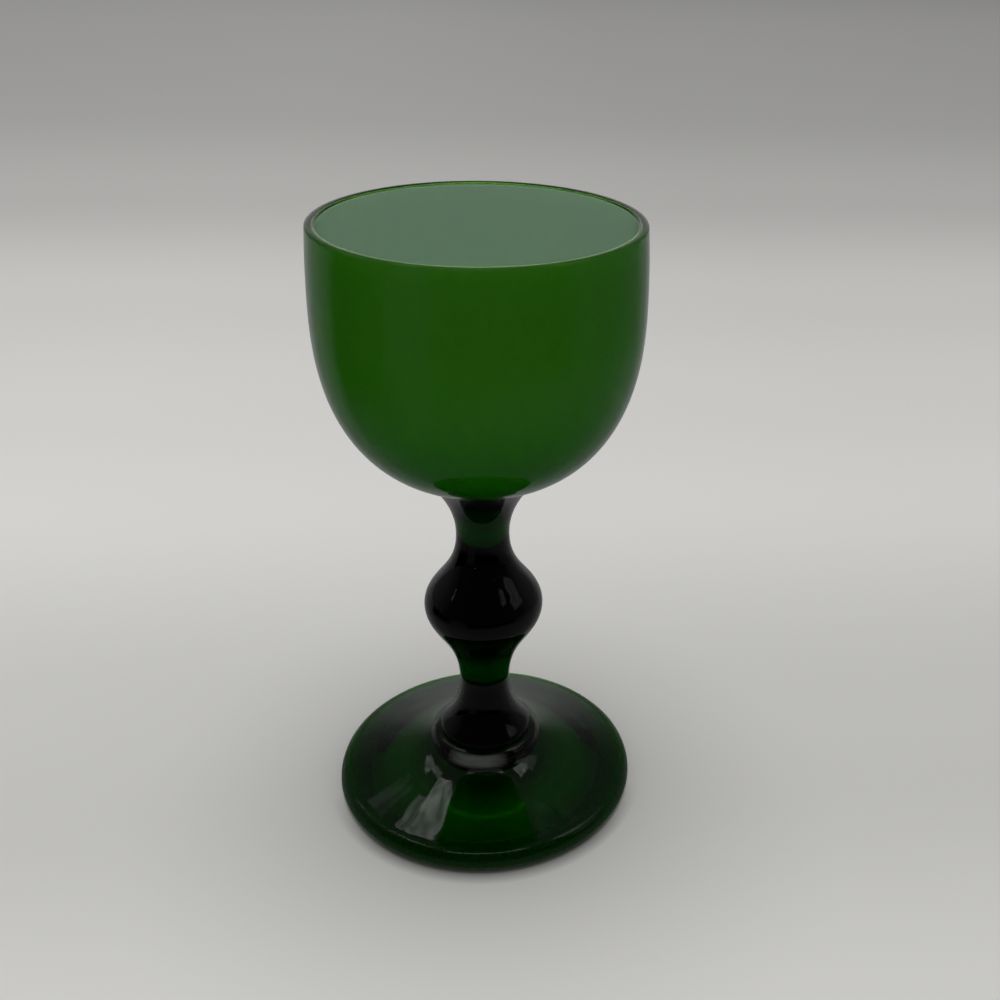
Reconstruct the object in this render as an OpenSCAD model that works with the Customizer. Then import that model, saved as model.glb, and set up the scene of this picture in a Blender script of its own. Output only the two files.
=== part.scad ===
// Cordial glass of hot-worked cased glass: an opal lining inside a green casing, on a knopped stem and a spread foot.
// Every piece is turned about the Z axis. The origin is the middle of the foot where it stands, and +Z is up.

/* [Bowl] */
// Height of the bowl from its lowest outside point to the lip
bowl_h = 42.3; // [38:0.1:50]
// Height of the bowl's widest ring above its lowest outside point
bowl_widest_h = 31; // [26:0.5:35]
// Outside radius at the widest ring
bowl_r = 25.4; // [22:0.05:30]
// Outside radius at the lip
lip_r = 25; // [21:0.05:29]
// Height of the rounded crown along the top of the lip
lip_crown_h = 0.35; // [0.2:0.05:0.4]
// Depth of green glass that closes over the lip, above the opal
lip_cap_t = 0.45; // [0.45:0.05:1.2]

/* [Bowl layers] */
// Thickness of the green casing at the side
casing_t = 1; // [0.6:0.05:1.6]
// Thickness of the green casing at the bottom
casing_bottom_t = 2.4; // [1:0.1:3]
// Thickness of the opal lining at the side
lining_t = 0.6; // [0.4:0.05:1.2]
// Thickness of the opal lining at the bottom
lining_bottom_t = 1.2; // [0.6:0.1:2.5]

/* [Stem] */
// Length of the stem from its weld on the foot to the bowl's lowest outside point
stem_l = 49.4; // [45:0.1:60]
// Radius of the stem's flared top where it meets the bowl
flare_r = 10.1; // [7:0.1:11]
// Radius of the upper neck
upper_neck_r = 4.4; // [3.2:0.05:5.5]
// Height of the upper neck above the weld
upper_neck_h = 39.3; // [38:0.1:42]
// Radius of the round knop
knop_r = 10; // [8:0.1:12]
// Height of the knop's widest ring above the weld
knop_h = 25.9; // [23:0.1:28]
// Radius of the lower neck
lower_neck_r = 4.3; // [3.2:0.05:5.5]
// Height of the lower neck above the weld
lower_neck_h = 10.4; // [9:0.1:13]
// Radius of the bell-shaped base
bell_r = 7.9; // [7.4:0.05:9]
// Height of the bell's widest ring above the weld
bell_h = 0.9; // [0.6:0.1:2]

/* [Weld of stem and foot] */
// Radius of the round face where the stem stands on the hub
weld_r = 7.3; // [6:0.1:7.4]

/* [Foot] */
// Widest radius of the foot
foot_r = 25.9; // [22:0.1:30]
// Height of the widest ring above the table
foot_widest_h = 1.3; // [1:0.1:2.5]
// Radius at which the rounded edge turns into the top surface
rim_r = 24.3; // [21:0.1:25.5]
// Height of the top surface at that radius
rim_h = 3.5; // [2.8:0.1:5]
// Radius of the hub's shoulder
hub_r = 9.3; // [8.5:0.1:12]
// Height at which the hub's shoulder starts to round over
shoulder_h = 8.8; // [7.5:0.1:9.6]
// Height of the hub's top, which is the weld, above the table
hub_h = 10.3; // [9.8:0.1:13]
// Outside radius of the flat ring on which the glass stands
rest_outer_r = 22.3; // [20:0.1:22.5]
// Inside radius of that flat ring
rest_inner_r = 21.2; // [17:0.1:21.8]
// Depth of the hollow under the foot, inside the flat ring
hollow_h = 3.8; // [0.5:0.1:4.2]

/* [Hidden] */
// Roundness of the bowl's outline: 2 is an ellipse, and more is fuller
bowl_roundness = 2.45;
// Flatness of the hollow's roof: 2 is a dome, and more is flatter
hollow_flatness = 6;
// Handle lengths of the stem's curves, as shares of the height of each curve
bell_handle_share = 0.12;
lower_neck_under_share = 0.7;
lower_neck_over_share = 0.56;
knop_under_share = 0.3;
knop_over_share = 0.34;
upper_neck_share = 0.56;
flare_corner_share = 0.53;
// Handle lengths of the foot's top curve, as shares of its width and of its height
top_rise_share = 0.46;
top_reach_share = 0.65;
hub_drop_share = 0.24;
hub_reach_share = 0.04;
// Steps along each kind of curve
wall_steps = 22;
seat_steps = 8;
taper_steps = 6;
round_steps = 8;
hollow_steps = 12;
curve_steps = 14;
// Fineness of the turning about the axis
$fn = 96;

// Places on the axis, counted up from the table
weld_z = hub_h;
bowl_z = weld_z + stem_l;
widest_z = bowl_z + bowl_widest_h;
lip_z = bowl_z + bowl_h;
lip_t = casing_t + lining_t;

// Joins lists of points end to end and drops a point that repeats the one before it
function joined(lists) =
    let (all = [for (part = lists) for (point = part) point])
    [for (i = [0 : len(all) - 1]) if (i == 0 || norm(all[i] - all[max(i - 1, 0)]) > 0) all[i]];

// The same points in the other order
function backwards(points) = [for (i = [len(points) - 1 : -1 : 0]) points[i]];

// Smooth curve from the first point to the last, pulled towards the two between them
function curve(p, steps) =
    [for (i = [0 : steps]) let (t = i / steps, s = 1 - t)
        s * s * s * p[0] + 3 * s * s * t * p[1] + 3 * s * t * t * p[2] + t * t * t * p[3]];

// Curve from a lower ring to a higher one that leaves and arrives straight up
function swell(low, high, low_share, high_share) =
    let (rise = high.y - low.y)
    curve([low, [low.x, low.y + low_share * rise], [high.x, high.y - high_share * rise], high], curve_steps);

// Quarter of an ellipse that leaves the first point level and arrives at the second upright
function rounding(level, upright) =
    [for (i = [0 : round_steps]) let (a = 90 * i / round_steps)
        [level.x + (upright.x - level.x) * sin(a), level.y + (upright.y - level.y) * (1 - cos(a))]];

// One point of a bowl-shaped outline at an angle from its lowest point, 0, to its widest, 90
function bowl_point(a, radius, low_z) =
    let (power = 2 / bowl_roundness)
    [radius * pow(sin(a), power), low_z + (widest_z - low_z) * (1 - pow(cos(a), power))];

// Angle at which the bowl's outside has the radius r
function outside_angle(r) = asin(pow(r / bowl_r, bowl_roundness / 2));

// Outline of the bowl from one angle up to the widest ring
function bowl_side(from, radius, low_z) =
    [for (i = [0 : wall_steps]) bowl_point(from + (90 - from) * i / wall_steps, radius, low_z)];

// Outline from the widest ring up to a height below the lip, drawn in gently
function taper(widest_r, top_r, top_z) =
    [for (i = [0 : taper_steps]) let (t = i / taper_steps)
        [widest_r - (widest_r - top_r) * t * t, widest_z + (top_z - widest_z) * t]];

// The round patch of the bowl's outside that the stem's flare is welded to
function seat() =
    let (edge = outside_angle(flare_r))
    [for (i = [0 : seat_steps]) bowl_point(edge * i / seat_steps, bowl_r, bowl_z)];

// Outside of the bowl, up to where the lip's crown starts
function outside() = joined([
    seat(),
    bowl_side(outside_angle(flare_r), bowl_r, bowl_z),
    taper(bowl_r, lip_r, lip_z - lip_crown_h)
]);

// The surface where casing and lining are fused, up to the lining's top edge
function fused_surface() = joined([
    bowl_side(0, bowl_r - casing_t, bowl_z + casing_bottom_t),
    taper(bowl_r - casing_t, lip_r - casing_t, lip_z - lip_cap_t)
]);

// Inside of the bowl, up to the lining's top edge
function inside() = joined([
    bowl_side(0, bowl_r - lip_t, bowl_z + casing_bottom_t + lining_bottom_t),
    taper(bowl_r - lip_t, lip_r - lip_t, lip_z - lip_cap_t)
]);

// The lip's rounded crown, from its outer foot over the top to its inner foot
function crown() =
    [for (i = [0 : 2 * round_steps]) let (a = 90 * i / round_steps)
        [lip_r - lip_t / 2 + lip_t / 2 * cos(a), lip_z - lip_crown_h + lip_crown_h * sin(a)]];

// The hollow under the foot, from the axis out to the flat ring, which it meets level
function hollow() =
    [for (i = [0 : hollow_steps]) let (t = sin(90 * i / hollow_steps))
        [rest_inner_r * t, hollow_h * pow(1 - pow(t, hollow_flatness), 2)]];

module turned(points) {
    rotate_extrude() polygon(points);
}

// White opal layer that holds the drink
module bowl_lining() {
    color("honeydew")
        turned(joined([fused_surface(), backwards(inside())]));
}

// Green layer around the opal, closed over the lip
module bowl_casing() {
    color("forestgreen")
        turned(joined([outside(), crown(), backwards(fused_surface())]));
}

// Solid stem: bell, lower neck, knop, upper neck and flared top
module stem() {
    bell = [bell_r, weld_z + bell_h];
    lower_neck = [lower_neck_r, weld_z + lower_neck_h];
    knop = [knop_r, weld_z + knop_h];
    upper_neck = [upper_neck_r, weld_z + upper_neck_h];
    flare_edge = bowl_point(outside_angle(flare_r), bowl_r, bowl_z);
    corner = [upper_neck_r, upper_neck.y + flare_corner_share * (flare_edge.y - upper_neck.y)];
    color("darkgreen")
        turned(joined([
            [[0, weld_z]],
            rounding([weld_r, weld_z], bell),
            swell(bell, lower_neck, bell_handle_share, lower_neck_under_share),
            swell(lower_neck, knop, lower_neck_over_share, knop_under_share),
            swell(knop, upper_neck, knop_over_share, upper_neck_share),
            curve([upper_neck, (upper_neck + 2 * corner) / 3, (flare_edge + 2 * corner) / 3, flare_edge], curve_steps),
            backwards(seat())
        ]));
}

// Spread foot with its rounded edge, raised hub, flat resting ring and hollow underside
module foot() {
    rim = [rim_r, rim_h];
    shoulder = [hub_r, shoulder_h];
    reach = rim_r - hub_r;
    climb = shoulder_h - rim_h;
    color("green")
        turned(joined([
            hollow(),
            rounding([rest_outer_r, 0], [foot_r, foot_widest_h]),
            backwards(rounding(rim, [foot_r, foot_widest_h])),
            curve([
                rim,
                [rim_r - top_reach_share * reach, rim_h + top_rise_share * climb],
                [hub_r + hub_reach_share * reach, shoulder_h - hub_drop_share * climb],
                shoulder
            ], curve_steps),
            backwards(rounding([weld_r, weld_z], shoulder)),
            [[0, weld_z]]
        ]));
}

bowl_lining();
bowl_casing();
stem();
foot();
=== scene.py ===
"""Looks of a small cordial glass: an opal-lined green bowl on a knopped stem and a spread foot."""

import math

import bpy
from bpy.props import FloatProperty, FloatVectorProperty, IntProperty, PointerProperty
from mathutils import Matrix, Vector


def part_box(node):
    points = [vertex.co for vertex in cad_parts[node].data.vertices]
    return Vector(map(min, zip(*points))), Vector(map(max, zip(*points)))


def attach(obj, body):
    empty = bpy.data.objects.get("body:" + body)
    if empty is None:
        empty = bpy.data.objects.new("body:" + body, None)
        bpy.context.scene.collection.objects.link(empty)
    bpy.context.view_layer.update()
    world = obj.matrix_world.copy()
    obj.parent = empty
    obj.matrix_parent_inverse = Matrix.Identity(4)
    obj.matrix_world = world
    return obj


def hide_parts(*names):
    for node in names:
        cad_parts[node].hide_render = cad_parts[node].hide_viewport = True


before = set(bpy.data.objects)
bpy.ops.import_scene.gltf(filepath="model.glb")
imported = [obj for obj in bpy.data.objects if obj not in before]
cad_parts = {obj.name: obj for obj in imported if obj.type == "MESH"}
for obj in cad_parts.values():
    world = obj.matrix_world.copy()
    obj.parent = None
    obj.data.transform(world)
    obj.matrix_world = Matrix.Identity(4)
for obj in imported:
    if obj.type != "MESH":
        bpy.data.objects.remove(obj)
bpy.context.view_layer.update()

bl_info = {
    "name": "Cordial glass",
    "version": (1, 0, 0),
    "blender": (4, 5, 0),
    "location": "3D View > Sidebar > Cordial glass",
    "description": "Builds an opal-lined green cordial glass and the pale table it stands on",
    "category": "Object",
}

MM = 0.001

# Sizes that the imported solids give
foot_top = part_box("foot")[1]
stem_low, stem_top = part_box("stem")
casing_low, casing_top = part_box("bowl_casing")
lining_low, lining_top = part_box("bowl_lining")

WELD_Z = stem_low.z
BOWL_Z = casing_low.z
LIP_Z = casing_top.z
FOOT_R = foot_top.x
FLARE_R = stem_top.x
BOWL_R = casing_top.x
CASING_T = casing_top.x - lining_top.x
CASING_BOTTOM_T = lining_low.z - casing_low.z
LIP_CAP_T = casing_top.z - lining_top.z

# How far a piece reaches into the one it is fused to, so that no film of air shows between them
FUSED_DEPTH = 0.03 * MM

# Handle lengths of the curves, as shares of each curve's height or width
BELL_HANDLE_SHARE = 0.12
LOWER_NECK_UNDER_SHARE = 0.7
LOWER_NECK_OVER_SHARE = 0.56
KNOP_UNDER_SHARE = 0.3
KNOP_OVER_SHARE = 0.34
UPPER_NECK_SHARE = 0.56
FLARE_CORNER_SHARE = 0.53
TOP_RISE_SHARE = 0.46
TOP_REACH_SHARE = 0.65
HUB_DROP_SHARE = 0.24
HUB_REACH_SHARE = 0.04

# Steps along each kind of curve in an outline
WALL_STEPS = 64
TAPER_STEPS = 12
SEAT_STEPS = 20
ROUND_STEPS = 14
CURVE_STEPS = 32
CROWN_STEPS = 20

# Points of an outline that are closer than this are one point
SAME_POINT = 1e-6 * MM

# How the turned mesh is closed and creased
SEAM_DISTANCE = 0.002 * MM
SHARP_ANGLE = math.radians(35)

# Faint waves in the surface: how far apart they are, and how high in the bowl and in the worked stem and foot
WAVE_REACH = 6 * MM
WAVE_HEIGHT = 0.02 * MM
WORKED_WAVE_HEIGHT = 0.06 * MM

# Seeds and dust: how far apart they are, how large, the share of that in their cores, and how pale
SPECK_SPACING = 1.7 * MM
SPECK_R = 0.07 * MM
SPECK_CORE_SHARE = 0.6
SPECK_LEVEL = 0.35

# Painted highlight on the front of the hub's shoulder, in fine upright jack marks: where it starts on the
# shoulder and how it fades out,
HUB_MARK_R = 8.8 * MM
HUB_MARK_Z = 8.6 * MM
HUB_MARK_FADE = 0.5 * MM
# how far its middle is turned from the front, the cosines of the turns off it where it starts and is full,
HUB_MARK_TURN = math.radians(10)
HUB_MARK_START = 0.82
HUB_MARK_FULL = 0.97
# how many marks would go all round the hub, how pale the painted highlight is, and the share of that between
# the marks
HUB_MARKS = 110
HUB_MARK_HIGHLIGHT_LEVEL = 0.2
HUB_MARK_BETWEEN_SHARE = 0.5

# Scuffs on the resting ring: how high they reach, how fine they are, their noise, and their least cover
WEAR_H = 0.3 * MM
SCUFF_REACH = 0.3 * MM
SCUFF_NOISE = (0.3, 0.6)
SCUFF_LEAST = 0.7

# Refraction of soda-lime glass
GLASS_IOR = 1.5
# Share of the opal's light that passes through it
OPAL_THROUGH = 0.45

# Camera: place in metres, turns in degrees, lens in millimetres and shifts as shares of the frame
CAMERA_PLACE = (0, -0.1729, 0.1470)
CAMERA_HEADING = -5.505
CAMERA_DOWN = 25.816
CAMERA_ROLL = 1.62
CAMERA_LENS = 43.015
CAMERA_SHIFT = (-0.0853, -0.0424)

# Table: half its side, and the film of air between it and the resting ring
TABLE_REACH = 4.0
TABLE_GAP = 0.02 * MM
# Its painted shade along Y in metres, as a share of its colour, for the dimmer light where the card curves up
# behind
TABLE_SHADE = (
    (-0.06, 1.03),
    (-0.008, 0.87),
    (0.02, 0.89),
    (0.1, 1.06),
    (0.17, 1.0),
    (0.27, 0.92),
    (0.43, 0.71),
    (0.66, 0.62),
    (1.5, 0.72),
)
# The same from left to right: half the table's lit width, and how much brighter the left is than the middle
SIDE_REACH = 0.12
SIDE_SHADE = 0.04
# Shade that the camera sees on the table close round the front of the foot, away from the backdrop's light
CONTACT_DEPTH = 0.85
CONTACT_START = FOOT_R - 1.1 * MM
CONTACT_END = FOOT_R + 2.3 * MM
CONTACT_FRONT = -19 * MM
CONTACT_SIDE = -5 * MM
# Painted reflection: level of the glow that the gloss of the glass shows in place of the table, by degrees
# from the front: near the glass, on either side,
NEAR_GLOSS = ((0, 0.07), (60, 0.08), (90, 0.1), (120, 0.17), (150, 0.25), (180, 0.27))
# and far from it, from the left round the front to the right, with painted dark sectors for dark things
# guessed to stand on it
FAR_GLOSS = (
    (-180, 0.3),
    (-150, 0.28),
    (-130, 0.2),
    (-115, 0.14),
    (-101, 0.0),
    (-66, 0.0),
    (-58, 0.05),
    (-36, 0.05),
    (-28, 0.0),
    (55, 0.0),
    (66, 0.05),
    (100, 0.07),
    (120, 0.1),
    (140, 0.2),
    (150, 0.28),
    (180, 0.3),
)
# The near part: its middle, a little to the right of the glass, and how far off it starts and ends to fade
NEAR_MIDDLE = (0.04, 0, 0)
NEAR_REACH = 0.11
NEAR_END = 0.21

# Lamp: its place in metres and its radius
LAMP_PLACE = (0, 0.1, 1.6)
LAMP_R = 0.55

# Room in the gloss: level of its walls by how far back they lie, as a multiple of the dim front,
WALL_LEVELS = ((-1, 1), (-0.3, 1.2), (0, 4), (0.3, 6), (0.7, 7), (1, 5))
# and share of the pale backdrop by the same and by height
BACKDROP_ACROSS = ((0.8, 0), (0.87, 0.35), (0.92, 0.75), (0.97, 1), (1, 1))
BACKDROP_HEIGHT = ((0, 1), (0.17, 0.9), (0.28, 0.65), (0.36, 0.4), (0.43, 0.18), (0.6, 0))

# Bright panes that only the gloss shows: degrees from the front and up, width and height in degrees, level
PANES = (
    (-137.5, 65, 9.5, 9, 1.3),
    (-143, 58.5, 4, 4, 0.7),
    (-127, 56, 4, 8, 0.7),
    (-130, 46, 6, 12, 0.8),
    (-142.5, 49.5, 3, 7, 0.2),
    (106, 62, 13, 12, 1.1),
    (118, 52, 8, 14, 0.35),
    (147, 60, 5, 12, 0.12),
    (-5, 76, 34, 12, 0.22),
    (0, 86, 30, 8, 1.1),
    (92, 51, 26, 13, 0.42),
    (49, 38, 10, 5, 0.25),
    (77, 27, 24, 14, 0.25),
    (-78, 30, 3, 2.5, 0.35),
)
PANE_DISTANCE = 1.4
# Soft patches in a pane, like those of a curtain: their size, the noise they take up, and how dark and bright
PANE_MOTTLE = 0.06
MOTTLE_NOISE = (0.35, 0.65)
MOTTLE_LOW = 0.4
MOTTLE_HIGH = 1.3


def linear(hex_colour):
    """Linear red, green and blue of an sRGB hex colour."""
    shares_of_full = [int(hex_colour[i : i + 2], 16) / 255 for i in (0, 2, 4)]
    return tuple(s / 12.92 if s <= 0.04045 else ((s + 0.055) / 1.055) ** 2.4 for s in shares_of_full)


def length(name, default, description):
    """A length property in metres, shown in the scene's unit."""
    return FloatProperty(
        name=name,
        description=description,
        default=default,
        min=0,
        precision=5,
        subtype="DISTANCE",
        unit="LENGTH",
    )


def colour(name, hex_colour, description):
    """A colour property that starts from an sRGB hex colour."""
    return FloatVectorProperty(
        name=name, description=description, default=linear(hex_colour), min=0, max=1, subtype="COLOR"
    )


def amount(name, default, description, least=0):
    """A plain number property that can't go under its least value."""
    return FloatProperty(name=name, description=description, default=default, min=least)


class GlassBowlSizes(bpy.types.PropertyGroup):
    """Sizes of the bowl and its two layers"""

    widest_r: length("Widest radius", BOWL_R, "Outside radius at the bowl's widest ring")
    widest_h: length("Widest height", 31 * MM, "Height of the widest ring above the bowl's lowest point")
    lip_r: length("Lip radius", 25 * MM, "Outside radius at the lip")
    crown_h: length("Crown height", 0.35 * MM, "Height of the rounded crown along the top of the lip")
    casing_t: length("Casing thickness", CASING_T, "Thickness of the green casing at the side")
    lining_t: length("Lining thickness", 0.6 * MM, "Thickness of the opal lining at the side")
    lining_bottom_t: length("Lining bottom", 1.2 * MM, "Thickness of the opal lining at the bottom")
    roundness: amount("Roundness", 2.45, "2 is an elliptic outline and more is fuller", least=1.5)


class GlassStemSizes(bpy.types.PropertyGroup):
    """Sizes of the stem, with heights counted from its weld on the foot"""

    flare_r: length("Flare radius", FLARE_R, "Radius of the flared top where it meets the bowl")
    upper_neck_r: length("Upper neck radius", 4.4 * MM, "Radius of the neck above the knop")
    upper_neck_h: length("Upper neck height", 39.3 * MM, "Height of the upper neck")
    knop_r: length("Knop radius", 10 * MM, "Radius of the round knop")
    knop_h: length("Knop height", 25.9 * MM, "Height of the knop's widest ring")
    lower_neck_r: length("Lower neck radius", 4.3 * MM, "Radius of the neck under the knop")
    lower_neck_h: length("Lower neck height", 10.4 * MM, "Height of the lower neck")
    bell_r: length("Bell radius", 7.9 * MM, "Radius of the bell-shaped base")
    bell_h: length("Bell height", 0.9 * MM, "Height of the bell's widest ring")
    weld_r: length("Weld radius", 7.3 * MM, "Radius of the face where the stem stands on the hub")


class GlassFootSizes(bpy.types.PropertyGroup):
    """Sizes of the foot, with heights counted from the table"""

    widest_r: length("Widest radius", FOOT_R, "Widest radius of the foot")
    widest_h: length("Widest height", 1.3 * MM, "Height of the widest ring")
    rim_r: length("Rim radius", 24.3 * MM, "Radius at which the rounded edge turns into the top")
    rim_h: length("Rim height", 3.5 * MM, "Height of the top surface at that radius")
    hub_r: length("Hub radius", 9.3 * MM, "Radius of the hub's shoulder")
    shoulder_h: length("Shoulder height", 8.8 * MM, "Height at which the shoulder starts to round over")
    rest_outer_r: length("Resting ring, outside", 22.3 * MM, "Outside radius of the flat ring it stands on")
    rest_inner_r: length("Resting ring, inside", 21.2 * MM, "Inside radius of that ring")
    hollow_h: length("Hollow", 3.8 * MM, "Depth of the hollow under the foot")
    hollow_flatness: amount("Hollow's flatness", 6, "2 is a dome and more is flatter", least=2)


class GlassFinish(bpy.types.PropertyGroup):
    """Colours and surface of the glass"""

    green: colour("Green", "b3e600", "Light that a thin slice of the green glass lets through")
    bowl_depth: amount("Bowl's depth", 2000, "How fast the bowl's green darkens, per metre of glass")
    stem_depth: amount("Stem's depth", 2150, "The same for the stem")
    foot_depth: amount("Foot's depth", 1700, "The same for the foot")
    opal: colour("Opal", "e0f5e7", "Colour of the white opal glass")
    segments: IntProperty(
        name="Segments", description="Flat sides that stand for the round", default=240, min=24, max=360
    )


class GlassStage(bpy.types.PropertyGroup):
    """The table and the light"""

    table: colour("Table", "edece9", "Colour of the pale table")
    lamp: amount("Lamp", 10.8, "Power of the soft lamp overhead, in watts")
    soft: amount("Soft light", 0.32, "Level of the even light from all round")
    backdrop: amount("Backdrop", 0.42, "Level of the pale backdrop that the gloss shows")
    front: amount("Front", 0.013, "Level of the dim room in front that the gloss shows")


def add_node(tree, kind, inputs=None, **settings):
    """Adds a node, sets its own settings, and gives each named input a value or a link."""
    node = tree.nodes.new(kind)
    for name, value in settings.items():
        setattr(node, name, value)
    for name, value in (inputs or {}).items():
        if isinstance(value, bpy.types.NodeSocket):
            tree.links.new(value, node.inputs[name])
        else:
            node.inputs[name].default_value = value
    return node


def arithmetic(tree, operation, a, b=0.0):
    """Result of one sum on one or two values."""
    return add_node(tree, "ShaderNodeMath", {0: a, 1: b}, operation=operation).outputs["Value"]


def multiplied(tree, first, *others):
    """Product of all the values."""
    for other in others:
        first = arithmetic(tree, "MULTIPLY", first, other)
    return first


def spread(tree, value, low, high, low_level=0.0, high_level=1.0):
    """Turns a value between low and high evenly into a level, and holds the level beyond both ends."""
    node = add_node(
        tree,
        "ShaderNodeMapRange",
        {"Value": value, "From Min": low, "From Max": high, "To Min": low_level, "To Max": high_level},
    )
    return node.outputs["Result"]


def ramp(tree, value, stops):
    """Smooth grey levels along a value, from stops that each give a place on it and the level there."""
    low = stops[0][0]
    high = stops[-1][0]
    node = add_node(tree, "ShaderNodeValToRGB", {"Fac": spread(tree, value, low, high)})
    node.color_ramp.interpolation = "EASE"
    marks = node.color_ramp.elements
    while len(marks) < len(stops):
        marks.new(1)
    for mark, (place, grey) in zip(marks, stops):
        mark.position = (place - low) / (high - low)
        mark.color = (grey, grey, grey, 1)
    return node.outputs["Color"]


def blended(tree, share, a, b):
    """Value between a, at share 0, and b, at share 1."""
    mix = add_node(tree, "ShaderNodeMix", {"Factor": share, "A": a, "B": b}, data_type="FLOAT")
    return mix.outputs["Result"]


def empty_material(name):
    """A new material with no nodes yet, and its tree."""
    material = bpy.data.materials.new(name)
    material.use_nodes = True
    material.node_tree.nodes.clear()
    return material, material.node_tree


# Outlines of half the glass: x is the distance from the axis and y the height


def joined(*lists):
    """Lists of points end to end, without a point that repeats the one before it."""
    points = []
    for part in lists:
        for p in part:
            if not points or (p - points[-1]).length > SAME_POINT:
                points.append(p)
    return points


def backwards(points):
    """The same points in the other order."""
    return list(reversed(points))


def shares(steps):
    """Even shares from 0 to 1."""
    return [i / steps for i in range(steps + 1)]


def curve(a, b, c, d):
    """Smooth curve from a to d, pulled towards b and c."""
    return [
        (1 - t) ** 3 * a + 3 * (1 - t) ** 2 * t * b + 3 * (1 - t) * t**2 * c + t**3 * d
        for t in shares(CURVE_STEPS)
    ]


def swell(low, high, low_share, high_share):
    """Curve from a lower ring to a higher one that leaves and arrives straight up."""
    rise = high.y - low.y
    return curve(low, low + Vector((0, low_share * rise)), high - Vector((0, high_share * rise)), high)


def rounding(level, upright):
    """Quarter of an ellipse that leaves the first point level and arrives at the second upright."""
    reach = upright.x - level.x
    rise = upright.y - level.y
    turns = [math.pi / 2 * t for t in shares(ROUND_STEPS)]
    return [level + Vector((reach * math.sin(a), rise * (1 - math.cos(a)))) for a in turns]


class BowlOutline:
    """The bowl's outlines, worked out from its sizes."""

    def __init__(self, sizes, flare_r):
        self.s = sizes
        self.widest_z = BOWL_Z + sizes.widest_h
        self.flare_angle = math.asin((flare_r / sizes.widest_r) ** (sizes.roundness / 2))
        self.wall_t = sizes.casing_t + sizes.lining_t

    def point(self, angle, radius, low_z):
        """Point at an angle from the lowest point, 0, to the widest ring, a quarter turn."""
        power = 2 / self.s.roundness
        rise = self.widest_z - low_z
        across = math.sin(angle)
        down = max(math.cos(angle), 0)
        return Vector((radius * across**power, low_z + rise * (1 - down**power)))

    def side(self, start, end, radius, low_z, steps):
        """Stretch of the outline between two angles."""
        return [self.point(start + (end - start) * t, radius, low_z) for t in shares(steps)]

    def taper(self, inset, top_z):
        """From the widest ring up to a height below the lip, drawn in gently."""
        start_r = self.s.widest_r - inset
        drawn_in = self.s.widest_r - self.s.lip_r
        rise = top_z - self.widest_z
        return [Vector((start_r - drawn_in * t * t, self.widest_z + rise * t)) for t in shares(TAPER_STEPS)]

    def seat(self, depth=0.0):
        """The patch of the outside that the stem's flare is welded to, moved up by a depth."""
        lift = Vector((0, depth))
        return [p + lift for p in self.side(0, self.flare_angle, self.s.widest_r, BOWL_Z, SEAT_STEPS)]

    def outside(self):
        """Outside of the bowl, up to where the lip's crown starts."""
        s = self.s
        wall = self.side(self.flare_angle, math.pi / 2, s.widest_r, BOWL_Z, WALL_STEPS)
        return joined(self.seat(), wall, self.taper(0, LIP_Z - s.crown_h))

    def layer(self, inset, bottom_t, top_z):
        """Surface at a distance inside the outside: the fused one or the one that holds the drink."""
        low_z = BOWL_Z + bottom_t
        wall = self.side(0, math.pi / 2, self.s.widest_r - inset, low_z, WALL_STEPS)
        return joined(wall, self.taper(inset, top_z))

    def crown(self):
        """The lip's rounded top, from its outer foot to its inner foot."""
        half_t = self.wall_t / 2
        crown_h = self.s.crown_h
        middle = Vector((self.s.lip_r - half_t, LIP_Z - crown_h))
        turns = [math.pi * t for t in shares(CROWN_STEPS)]
        return [middle + Vector((half_t * math.cos(a), crown_h * math.sin(a))) for a in turns]


def casing_outline(bowl):
    """Green layer: up the outside, over the lip and down the surface where it is fused to the opal."""
    fused = bowl.layer(bowl.s.casing_t, CASING_BOTTOM_T, LIP_Z - LIP_CAP_T)
    return joined(bowl.outside(), bowl.crown(), backwards(fused))


def lining_outline(bowl):
    """Opal layer: up the fused skin, a little inside the green, and down the skin that holds the drink."""
    s = bowl.s
    top_z = LIP_Z - LIP_CAP_T
    fused = bowl.layer(s.casing_t - FUSED_DEPTH, CASING_BOTTOM_T - FUSED_DEPTH, top_z + FUSED_DEPTH)
    inside = bowl.layer(bowl.wall_t, CASING_BOTTOM_T + s.lining_bottom_t, top_z)
    top_edge = inside[-1] + Vector((FUSED_DEPTH, FUSED_DEPTH))
    return joined(fused, [top_edge], backwards(inside))


def stem_outline(s, bowl):
    """Bell, lower neck, knop, upper neck and flare, with a disc at the weld and a cup at the bowl."""
    low_z = WELD_Z - FUSED_DEPTH
    bell = Vector((s.bell_r, WELD_Z + s.bell_h))
    lower_neck = Vector((s.lower_neck_r, WELD_Z + s.lower_neck_h))
    knop = Vector((s.knop_r, WELD_Z + s.knop_h))
    upper_neck = Vector((s.upper_neck_r, WELD_Z + s.upper_neck_h))
    seat = bowl.seat(FUSED_DEPTH)
    edge = seat[-1]
    corner = Vector((upper_neck.x, upper_neck.y + FLARE_CORNER_SHARE * (edge.y - upper_neck.y)))
    return joined(
        [Vector((0, low_z))],
        rounding(Vector((s.weld_r, low_z)), bell),
        swell(bell, lower_neck, BELL_HANDLE_SHARE, LOWER_NECK_UNDER_SHARE),
        swell(lower_neck, knop, LOWER_NECK_OVER_SHARE, KNOP_UNDER_SHARE),
        swell(knop, upper_neck, KNOP_OVER_SHARE, UPPER_NECK_SHARE),
        curve(upper_neck, (upper_neck + 2 * corner) / 3, (edge + 2 * corner) / 3, edge),
        backwards(seat),
    )


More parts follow.
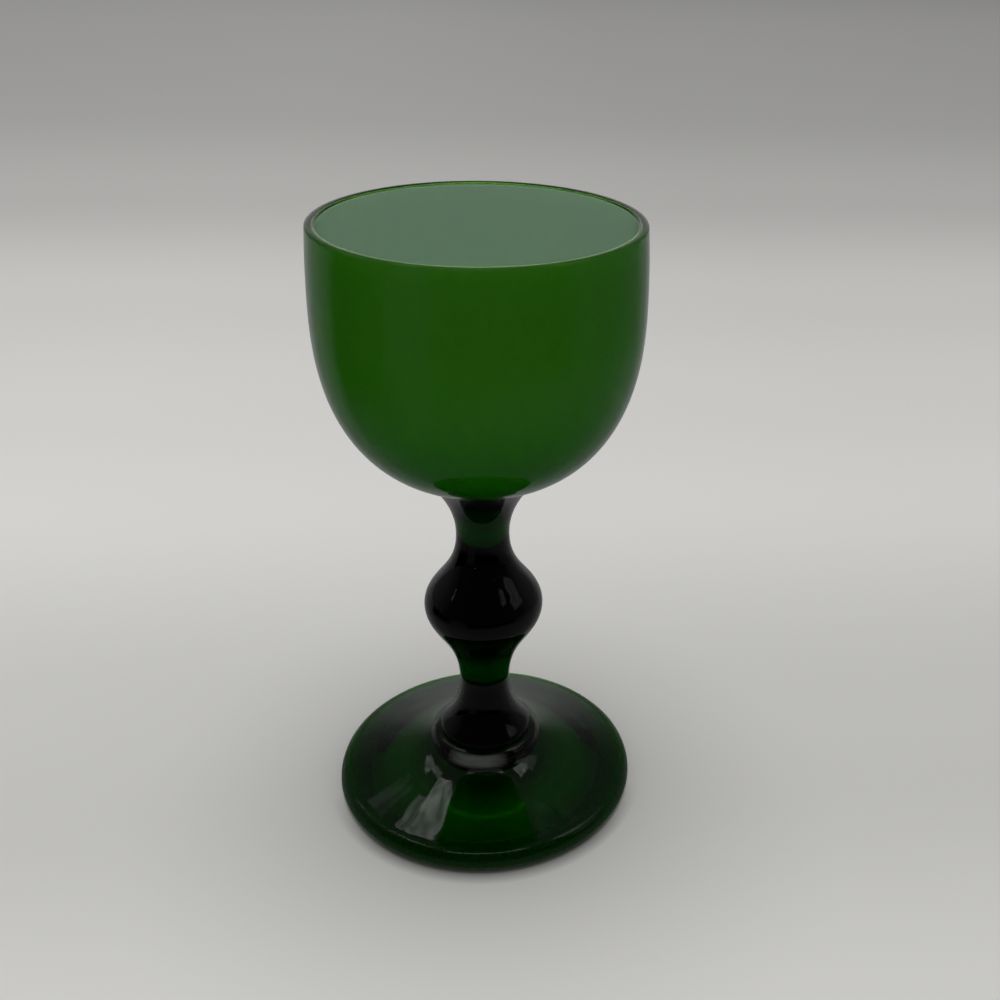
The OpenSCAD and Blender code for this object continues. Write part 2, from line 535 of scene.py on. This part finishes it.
def foot_outline(s, weld_r):
    """Hollow, resting ring, rounded edge, top surface, hub and weld."""
    widest = Vector((s.widest_r, s.widest_h))
    rim = Vector((s.rim_r, s.rim_h))
    shoulder = Vector((s.hub_r, s.shoulder_h))
    weld = Vector((weld_r, WELD_Z))
    reach = rim.x - shoulder.x
    climb = shoulder.y - rim.y
    out = [math.sin(math.pi / 2 * t) for t in shares(ROUND_STEPS)]
    hollow = [Vector((s.rest_inner_r * t, s.hollow_h * (1 - t**s.hollow_flatness) ** 2)) for t in out]
    top = curve(
        rim,
        rim + Vector((-TOP_REACH_SHARE * reach, TOP_RISE_SHARE * climb)),
        shoulder + Vector((HUB_REACH_SHARE * reach, -HUB_DROP_SHARE * climb)),
        shoulder,
    )
    return joined(
        hollow,
        rounding(Vector((s.rest_outer_r, 0)), widest),
        backwards(rounding(rim, widest)),
        top,
        backwards(rounding(weld, shoulder)),
        [Vector((0, WELD_Z))],
    )


def turning_tree():
    """Geometry nodes that turn an outline about the Z axis, as glass is turned while it is worked hot."""
    tree = bpy.data.node_groups.new("turned glass", "GeometryNodeTree")
    tree.is_modifier = True
    face = tree.interface
    face.new_socket("Outline", in_out="INPUT", socket_type="NodeSocketGeometry")
    face.new_socket("Segments", in_out="INPUT", socket_type="NodeSocketInt")
    face.new_socket("Seam Distance", in_out="INPUT", socket_type="NodeSocketFloat")
    face.new_socket("Sharp Angle", in_out="INPUT", socket_type="NodeSocketFloat")
    face.new_socket("Glass", in_out="INPUT", socket_type="NodeSocketMaterial")
    face.new_socket("Turned", in_out="OUTPUT", socket_type="NodeSocketGeometry")
    given = add_node(tree, "NodeGroupInput").outputs

    # A grid has a row for each point of the outline and a column for each step round the axis
    size = add_node(tree, "GeometryNodeAttributeDomainSize", {"Geometry": given["Outline"]})
    columns = arithmetic(tree, "ADD", given["Segments"], 1.0)
    grid = add_node(
        tree, "GeometryNodeMeshGrid", {"Vertices X": size.outputs["Point Count"], "Vertices Y": columns}
    )
    index = add_node(tree, "GeometryNodeInputIndex").outputs["Index"]
    row = arithmetic(tree, "FLOOR", arithmetic(tree, "DIVIDE", index, columns))
    column = arithmetic(tree, "MODULO", index, columns)
    turn = arithmetic(tree, "DIVIDE", column, given["Segments"])
    angle = multiplied(tree, turn, -math.tau)

    # Each row takes its place from the outline's point, turned by the column's angle
    place = add_node(tree, "GeometryNodeInputPosition")
    point = add_node(
        tree,
        "GeometryNodeSampleIndex",
        {"Geometry": given["Outline"], "Value": place.outputs["Position"], "Index": row},
        data_type="FLOAT_VECTOR",
    )
    turned = add_node(
        tree,
        "ShaderNodeVectorRotate",
        {"Vector": point.outputs["Value"], "Angle": angle},
        rotation_type="Z_AXIS",
    )
    moved = add_node(
        tree,
        "GeometryNodeSetPosition",
        {"Geometry": grid.outputs["Mesh"], "Position": turned.outputs["Vector"]},
    )
    closed = add_node(
        tree,
        "GeometryNodeMergeByDistance",
        {"Geometry": moved.outputs["Geometry"], "Distance": given["Seam Distance"]},
    )
    smooth = add_node(tree, "GeometryNodeSetShadeSmooth", {"Geometry": closed.outputs["Geometry"]})
    edge = add_node(tree, "GeometryNodeInputMeshEdgeAngle")
    sharp = add_node(
        tree,
        "FunctionNodeCompare",
        {"A": edge.outputs["Unsigned Angle"], "B": given["Sharp Angle"]},
        operation="GREATER_THAN",
    )
    creased = add_node(
        tree,
        "GeometryNodeSetShadeSmooth",
        {"Geometry": smooth.outputs["Geometry"], "Selection": sharp.outputs["Result"], "Shade Smooth": False},
        domain="EDGE",
    )
    plain = add_node(tree, "GeometryNodeRealizeInstances", {"Geometry": creased.outputs["Geometry"]})
    glass = add_node(
        tree, "GeometryNodeSetMaterial", {"Geometry": plain.outputs["Geometry"], "Material": given["Glass"]}
    )
    add_node(tree, "NodeGroupOutput", {"Turned": glass.outputs["Geometry"]})
    return tree


def turned_piece(name, outline, glass, segments):
    """Turns an outline into the finished mesh of one piece."""
    points = [(p.x, 0, p.y) for p in outline]
    mesh = bpy.data.meshes.new(name)
    mesh.from_pydata(points, [(i, i + 1) for i in range(len(points) - 1)], [])
    drawn = bpy.data.objects.new(name + "_outline", mesh)
    bpy.context.scene.collection.objects.link(drawn)
    tree = bpy.data.node_groups.get("turned glass") or turning_tree()
    modifier = drawn.modifiers.new("turned glass", "NODES")
    modifier.node_group = tree
    values = {
        "Segments": segments,
        "Seam Distance": SEAM_DISTANCE,
        "Sharp Angle": SHARP_ANGLE,
        "Glass": glass,
    }
    for socket in tree.interface.items_tree:
        if socket.name in values:
            modifier[socket.identifier] = values[socket.name]
    graph = bpy.context.evaluated_depsgraph_get()
    finished = bpy.data.meshes.new_from_object(drawn.evaluated_get(graph))
    finished.name = name
    drawn.modifiers.remove(modifier)
    bpy.data.objects.remove(drawn)
    piece = bpy.data.objects.new(name, finished)
    bpy.context.scene.collection.objects.link(piece)
    return piece


def waves(tree, place, reach, height):
    """Faint waves that the tools and the hot gather leave in a surface, as a bumped normal."""
    noise = add_node(
        tree, "ShaderNodeTexNoise", {"Vector": place, "Scale": 1 / reach, "Detail": 1.0, "Roughness": 0.4}
    )
    bump = add_node(
        tree, "ShaderNodeBump", {"Height": noise.outputs["Fac"], "Distance": height, "Strength": 1.0}
    )
    return bump.outputs["Normal"]


def specks(tree, place):
    """Tiny seeds in the glass and grains of dust on it: a pale dot wherever one lies at the surface."""
    cells = add_node(tree, "ShaderNodeTexVoronoi", {"Vector": place, "Scale": 1 / SPECK_SPACING})
    radius = SPECK_R / SPECK_SPACING
    return spread(tree, cells.outputs["Distance"], SPECK_CORE_SHARE * radius, radius, SPECK_LEVEL, 0)


def tool_marks_and_painted_highlight(tree, place):
    """Fine upright scratches that the jacks left round the front of the hub's shoulder, painted pale as the
    highlight there.
    """
    parts = add_node(tree, "ShaderNodeSeparateXYZ", {"Vector": place}).outputs
    x = parts["X"]
    y = parts["Y"]
    z = parts["Z"]
    radius = arithmetic(tree, "SQRT", arithmetic(tree, "ADD", multiplied(tree, x, x), multiplied(tree, y, y)))
    shoulder = multiplied(
        tree,
        spread(tree, radius, HUB_MARK_R - HUB_MARK_FADE, HUB_MARK_R),
        spread(tree, z, HUB_MARK_Z - HUB_MARK_FADE, HUB_MARK_Z),
        spread(tree, z, WELD_Z - HUB_MARK_FADE, WELD_Z, 1, 0),
    )
    towards = arithmetic(
        tree,
        "ADD",
        multiplied(tree, x, -math.sin(HUB_MARK_TURN)),
        multiplied(tree, y, -math.cos(HUB_MARK_TURN)),
    )
    front = spread(tree, arithmetic(tree, "DIVIDE", towards, radius), HUB_MARK_START, HUB_MARK_FULL)
    turn = arithmetic(tree, "ARCTAN2", x, y)
    ripple = arithmetic(tree, "SINE", multiplied(tree, turn, HUB_MARKS))
    lines = spread(tree, ripple, -1, 1, HUB_MARK_BETWEEN_SHARE, 1)
    return multiplied(tree, shoulder, front, lines, HUB_MARK_HIGHLIGHT_LEVEL)


def wear(tree, place):
    """Scuffs on the resting ring, where the foot has slid on tables."""
    parts = add_node(tree, "ShaderNodeSeparateXYZ", {"Vector": place})
    low = spread(tree, parts.outputs["Z"], WEAR_H / 2, WEAR_H, 1, 0)
    scuffs = add_node(tree, "ShaderNodeTexNoise", {"Vector": place, "Scale": 1 / SCUFF_REACH, "Detail": 4.0})
    return multiplied(tree, low, spread(tree, scuffs.outputs["Fac"], *SCUFF_NOISE, SCUFF_LEAST, 1))


def green_glass(name, depth, worked):
    """Soda-lime glass coloured green with iron and chrome, fire-polished after blowing.

    It is clear where it is thin and almost black where it is thick, with a wet, soft gloss over faint waves.
    The worked gathers of stem and foot also hold seeds, tool marks painted pale as a highlight on the hub, and
    the wear of standing on tables.
    """
    finish = bpy.context.scene.glass_finish
    material, tree = empty_material(name)
    place = add_node(tree, "ShaderNodeTexCoord").outputs["Object"]
    clear = add_node(
        tree,
        "ShaderNodeBsdfPrincipled",
        {
            "Base Color": (1, 1, 1, 1),
            "Roughness": 0.0,
            "IOR": GLASS_IOR,
            "Transmission Weight": 1.0,
            "Normal": waves(tree, place, WAVE_REACH, WORKED_WAVE_HEIGHT if worked else WAVE_HEIGHT),
        },
    )
    surface = clear.outputs["BSDF"]
    if worked:
        surface = marked(tree, place, surface)
    inside = add_node(tree, "ShaderNodeVolumeAbsorption", {"Color": (*finish.green, 1), "Density": depth})
    add_node(tree, "ShaderNodeOutputMaterial", {"Surface": surface, "Volume": inside.outputs["Volume"]})
    return material


def marked(tree, place, surface):
    """A glass surface with the pale seeds, scuffs and tool marks of a worked gather on it, the tool marks
    painted pale as a highlight.
    """
    wear_and_highlight_colour = (*linear("d8e0d8"), 1)
    pale = add_node(
        tree, "ShaderNodeBsdfPrincipled", {"Base Color": wear_and_highlight_colour, "Roughness": 0.5, "IOR": GLASS_IOR}
    )
    # The pale of the tool marks on the hub's front is a painted highlight; the seeds and scuffs are the
    # glass's own
    marks = arithmetic(tree, "ADD", specks(tree, place), tool_marks_and_painted_highlight(tree, place))
    share = arithmetic(tree, "MAXIMUM", marks, wear(tree, place))
    mix = add_node(tree, "ShaderNodeMixShader", {0: share, 1: surface, 2: pale.outputs["BSDF"]})
    return mix.outputs["Shader"]


def opal_glass():
    """White opal glass, blown first and fire-polished: milky, a little see-through, with a soft gloss."""
    opal = (*bpy.context.scene.glass_finish.opal, 1)
    material, tree = empty_material("opal glass")
    surface = add_node(
        tree, "ShaderNodeBsdfPrincipled", {"Base Color": opal, "Roughness": 0.08, "IOR": GLASS_IOR}
    )
    through = add_node(tree, "ShaderNodeBsdfTranslucent", {"Color": opal})
    milky = add_node(
        tree, "ShaderNodeMixShader", {0: OPAL_THROUGH, 1: surface.outputs["BSDF"], 2: through.outputs["BSDF"]}
    )
    add_node(tree, "ShaderNodeOutputMaterial", {"Surface": milky.outputs["Shader"]})
    return material


def bowl_outline():
    """The bowl's outlines at the sizes set in the scene."""
    scene = bpy.context.scene
    return BowlOutline(scene.glass_bowl, scene.glass_stem.flare_r)


def finish_piece(piece, node):
    """Hands a turned piece over to the frame in place of its solid."""
    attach(piece, "root")
    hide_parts(node)


class GLASS_OT_lining(bpy.types.Operator):
    """Blow the white opal lining of the bowl"""

    bl_idname = "glass.lining"
    bl_label = "Opal lining"

    def execute(self, context):
        finish = context.scene.glass_finish
        outline = lining_outline(bowl_outline())
        piece = turned_piece("opal_lining", outline, opal_glass(), finish.segments)
        finish_piece(piece, "bowl_lining")
        return {"FINISHED"}


class GLASS_OT_casing(bpy.types.Operator):
    """Gather the green casing over the lining and close it over the lip"""

    bl_idname = "glass.casing"
    bl_label = "Green casing"

    def execute(self, context):
        finish = context.scene.glass_finish
        outline = casing_outline(bowl_outline())
        glass = green_glass("green casing glass", finish.bowl_depth, worked=False)
        piece = turned_piece("green_casing", outline, glass, finish.segments)
        finish_piece(piece, "bowl_casing")
        return {"FINISHED"}


class GLASS_OT_stem(bpy.types.Operator):
    """Draw the solid stem with its bell, knop and flare"""

    bl_idname = "glass.stem"
    bl_label = "Knopped stem"

    def execute(self, context):
        finish = context.scene.glass_finish
        outline = stem_outline(context.scene.glass_stem, bowl_outline())
        glass = green_glass("dark green stem glass", finish.stem_depth, worked=True)
        piece = turned_piece("knopped_stem", outline, glass, finish.segments)
        finish_piece(piece, "stem")
        return {"FINISHED"}


class GLASS_OT_foot(bpy.types.Operator):
    """Spread the foot with its hub and rounded edge"""

    bl_idname = "glass.foot"
    bl_label = "Spread foot"

    def execute(self, context):
        scene = context.scene
        finish = scene.glass_finish
        outline = foot_outline(scene.glass_foot, scene.glass_stem.weld_r)
        glass = green_glass("dark green foot glass", finish.foot_depth, worked=True)
        piece = turned_piece("spread_foot", outline, glass, finish.segments)
        finish_piece(piece, "foot")
        return {"FINISHED"}


def add_camera():
    """The photograph's viewpoint: close, a little above the glass and looking down on it."""
    data = bpy.data.cameras.new("camera")
    data.lens = CAMERA_LENS
    data.shift_x = CAMERA_SHIFT[0]
    data.shift_y = CAMERA_SHIFT[1]
    data.clip_start = 5 * MM
    camera = bpy.data.objects.new("camera", data)
    heading = Matrix.Rotation(math.radians(CAMERA_HEADING), 4, "Z")
    tilt = Matrix.Rotation(math.radians(90 - CAMERA_DOWN), 4, "X")
    roll = Matrix.Rotation(math.radians(CAMERA_ROLL), 4, "Z")
    camera.matrix_world = Matrix.Translation(CAMERA_PLACE) @ heading @ tilt @ roll
    bpy.context.scene.collection.objects.link(camera)
    bpy.context.scene.camera = camera


def table_shade(tree, place):
    """Share of the table's colour at each place, with the shade close round the front of the foot."""
    parts = add_node(tree, "ShaderNodeSeparateXYZ", {"Vector": place})
    along = parts.outputs["Y"]
    side = spread(tree, parts.outputs["X"], -SIDE_REACH, SIDE_REACH, 1 + SIDE_SHADE, 1 - SIDE_SHADE)
    radius = add_node(tree, "ShaderNodeVectorMath", {0: place}, operation="LENGTH").outputs["Value"]
    contact = multiplied(
        tree,
        spread(tree, radius, CONTACT_START, CONTACT_END, CONTACT_DEPTH, 0),
        spread(tree, along, CONTACT_FRONT, CONTACT_SIDE, 1, 0),
        add_node(tree, "ShaderNodeLightPath").outputs["Is Camera Ray"],
    )
    return multiplied(tree, ramp(tree, along, TABLE_SHADE), side, arithmetic(tree, "SUBTRACT", 1, contact))


def painted_table_reflection(tree, place):
    """Painted reflection: level of the glow that the gloss of the glass shows in place of the table, dim in
    front and paler towards the back.
    """
    parts = add_node(tree, "ShaderNodeSeparateXYZ", {"Vector": place})
    turn = arithmetic(tree, "ARCTAN2", parts.outputs["X"], multiplied(tree, parts.outputs["Y"], -1))
    degrees = arithmetic(tree, "DEGREES", turn)
    near = ramp(tree, arithmetic(tree, "ABSOLUTE", degrees), NEAR_GLOSS)
    far = ramp(tree, degrees, FAR_GLOSS)
    away = add_node(tree, "ShaderNodeVectorMath", {0: place, 1: NEAR_MIDDLE}, operation="DISTANCE")
    return blended(tree, spread(tree, away.outputs["Value"], NEAR_REACH, NEAR_END), near, far)


def gloss_only(tree):
    """1 for what the first gloss on the glass shows, and 0 for light on matt things or through the glass."""
    ray = add_node(tree, "ShaderNodeLightPath")
    outside = spread(tree, ray.outputs["Is Transmission Ray"], 0, 1, 1, 0)
    return multiplied(tree, ray.outputs["Is Glossy Ray"], outside)


def pale_table(card_colour):
    """Matt white card with painted shade in its colour: it takes the cast shadow, and for the gloss of the
    glass it is a glow, a painted reflection dimmer towards the front.
    """
    material, tree = empty_material("matt white card")
    place = add_node(tree, "ShaderNodeTexCoord").outputs["Object"]
    card = add_node(
        # The card's colour holds the painted shade along it, across it and round the front of the foot
        tree, "ShaderNodeVectorMath", {0: card_colour, "Scale": table_shade(tree, place)}, operation="SCALE"
    )
    matt = add_node(
        tree,
        "ShaderNodeBsdfPrincipled",
        {"Base Color": card.outputs["Vector"], "Roughness": 0.9, "Specular IOR Level": 0.0},
    )
    # For gloss the card is swapped for this glow, a painted reflection of the table
    dim = add_node(tree, "ShaderNodeEmission", {"Strength": painted_table_reflection(tree, place)})
    seen = add_node(
        tree,
        "ShaderNodeMixShader",
        {0: gloss_only(tree), 1: matt.outputs["BSDF"], 2: dim.outputs["Emission"]},
    )
    add_node(tree, "ShaderNodeOutputMaterial", {"Surface": seen.outputs["Shader"]})
    return material


def add_table(settings):
    """The flat table that the glass stands on."""
    mesh = bpy.data.meshes.new("table")
    corners = [(x * TABLE_REACH, y * TABLE_REACH, 0) for x, y in ((-1, -1), (1, -1), (1, 1), (-1, 1))]
    mesh.from_pydata(corners, [], [(0, 1, 2, 3)])
    mesh.materials.append(pale_table(settings.table))
    table = bpy.data.objects.new("table", mesh)
    table.location.z = -TABLE_GAP
    bpy.context.scene.collection.objects.link(table)


def add_lamp(settings):
    """One wide soft lamp high above the glass."""
    data = bpy.data.lights.new("soft lamp", "AREA")
    data.shape = "DISK"
    data.size = 2 * LAMP_R
    data.energy = settings.lamp
    lamp = bpy.data.objects.new("soft lamp", data)
    lamp.location = LAMP_PLACE
    lamp.visible_glossy = False
    bpy.context.scene.collection.objects.link(lamp)


def scaled(stops, level):
    """The same stops with their levels multiplied."""
    return [(place, share * level) for place, share in stops]


def add_room(settings):
    """Even soft light for matt things, and for gloss a dim room in front and a pale backdrop low behind."""
    world = bpy.data.worlds.new("room")
    world.use_nodes = True
    tree = world.node_tree
    tree.nodes.clear()
    looked = add_node(tree, "ShaderNodeTexCoord").outputs["Generated"]
    parts = add_node(tree, "ShaderNodeSeparateXYZ", {"Vector": looked})
    level = add_node(tree, "ShaderNodeCombineXYZ", {"X": parts.outputs["X"], "Y": parts.outputs["Y"]})
    compass = add_node(tree, "ShaderNodeVectorMath", {0: level.outputs["Vector"]}, operation="NORMALIZE")
    back = add_node(tree, "ShaderNodeSeparateXYZ", {"Vector": compass.outputs["Vector"]}).outputs["Y"]
    walls = ramp(tree, back, scaled(WALL_LEVELS, settings.front))
    across = ramp(tree, back, scaled(BACKDROP_ACROSS, settings.backdrop))
    height = ramp(tree, parts.outputs["Z"], BACKDROP_HEIGHT)
    around = arithmetic(tree, "ADD", walls, multiplied(tree, across, height))
    path = add_node(tree, "ShaderNodeLightPath")
    first = arithmetic(tree, "LESS_THAN", path.outputs["Diffuse Depth"], 0.5)
    gloss = multiplied(tree, path.outputs["Is Glossy Ray"], first)
    strength = blended(tree, gloss, settings.soft, around)
    light = add_node(tree, "ShaderNodeBackground", {"Color": (1, 1, 1, 1), "Strength": strength})
    add_node(tree, "ShaderNodeOutputWorld", {"Surface": light.outputs["Background"]})
    bpy.context.scene.world = world


def pane_glow(name, level):
    """Soft, slightly patchy light, like a window behind a thin curtain."""
    material, tree = empty_material(name)
    place = add_node(tree, "ShaderNodeTexCoord").outputs["Object"]
    noise = add_node(tree, "ShaderNodeTexNoise", {"Vector": place, "Scale": 1 / PANE_MOTTLE, "Detail": 2.0})
    mottled = spread(tree, noise.outputs["Fac"], *MOTTLE_NOISE, MOTTLE_LOW * level, MOTTLE_HIGH * level)
    glow = add_node(tree, "ShaderNodeEmission", {"Strength": mottled})
    add_node(tree, "ShaderNodeOutputMaterial", {"Surface": glow.outputs["Emission"]})
    return material


def add_pane(number, compass, up, wide, high, level):
    """One flat pane that faces the glass, and that nothing but gloss can see."""
    half_w = PANE_DISTANCE * math.tan(math.radians(wide / 2))
    half_h = PANE_DISTANCE * math.tan(math.radians(high / 2))
    mesh = bpy.data.meshes.new(f"pane_{number}")
    corners = [(x * half_w, 0, z * half_h) for x, z in ((-1, -1), (1, -1), (1, 1), (-1, 1))]
    mesh.from_pydata(corners, [], [(0, 1, 2, 3)])
    mesh.materials.append(pane_glow(f"pane {number}", level))
    pane = bpy.data.objects.new(f"pane_{number}", mesh)
    around = Matrix.Rotation(math.radians(compass), 4, "Z")
    lean = Matrix.Rotation(math.radians(-up), 4, "X")
    pane.matrix_world = around @ lean @ Matrix.Translation((0, -PANE_DISTANCE, 0))
    pane.visible_camera = False
    pane.visible_diffuse = False
    pane.visible_transmission = False
    pane.visible_shadow = False
    bpy.context.scene.collection.objects.link(pane)


class GLASS_OT_stage(bpy.types.Operator):
    """Set out the pale table, the soft light and the camera"""

    bl_idname = "glass.stage"
    bl_label = "Table, light and camera"

    def execute(self, context):
        scene = context.scene
        settings = scene.glass_stage
        add_table(settings)
        add_lamp(settings)
        add_room(settings)
        for number, pane in enumerate(PANES):
            add_pane(number, *pane)
        add_camera()
        scene.view_settings.view_transform = "Standard"
        scene.cycles.max_bounces = 24
        scene.cycles.transmission_bounces = 20
        scene.cycles.glossy_bounces = 12
        scene.cycles.diffuse_bounces = 6
        return {"FINISHED"}


class GLASS_PT_panel(bpy.types.Panel):
    """Buttons for each piece of the glass and for the stage"""

    bl_idname = "GLASS_PT_panel"
    bl_label = "Cordial glass"
    bl_space_type = "VIEW_3D"
    bl_region_type = "UI"
    bl_category = "Cordial glass"

    def draw(self, context):
        for operator in OPERATORS:
            self.layout.operator(operator.bl_idname)
        for group, kind in GROUPS.items():
            box = self.layout.box()
            settings = getattr(context.scene, group)
            for name in kind.__annotations__:
                box.prop(settings, name)


OPERATORS = (GLASS_OT_lining, GLASS_OT_casing, GLASS_OT_stem, GLASS_OT_foot, GLASS_OT_stage)
GROUPS = {
    "glass_bowl": GlassBowlSizes,
    "glass_stem": GlassStemSizes,
    "glass_foot": GlassFootSizes,
    "glass_finish": GlassFinish,
    "glass_stage": GlassStage,
}


def register():
    """Adds the sizes, the operators and the panel to Blender."""
    for kind in (*GROUPS.values(), *OPERATORS, GLASS_PT_panel):
        bpy.utils.register_class(kind)
    for name, kind in GROUPS.items():
        setattr(bpy.types.Scene, name, PointerProperty(type=kind))


def unregister():
    """Takes them out again."""
    for name in GROUPS:
        delattr(bpy.types.Scene, name)
    for kind in (GLASS_PT_panel, *reversed(OPERATORS), *reversed(GROUPS.values())):
        bpy.utils.unregister_class(kind)


def main():
    """Builds every piece and the stage."""
    register()
    bpy.ops.glass.lining()
    bpy.ops.glass.casing()
    bpy.ops.glass.stem()
    bpy.ops.glass.foot()
    bpy.ops.glass.stage()


if __name__ == "__main__":
    main()
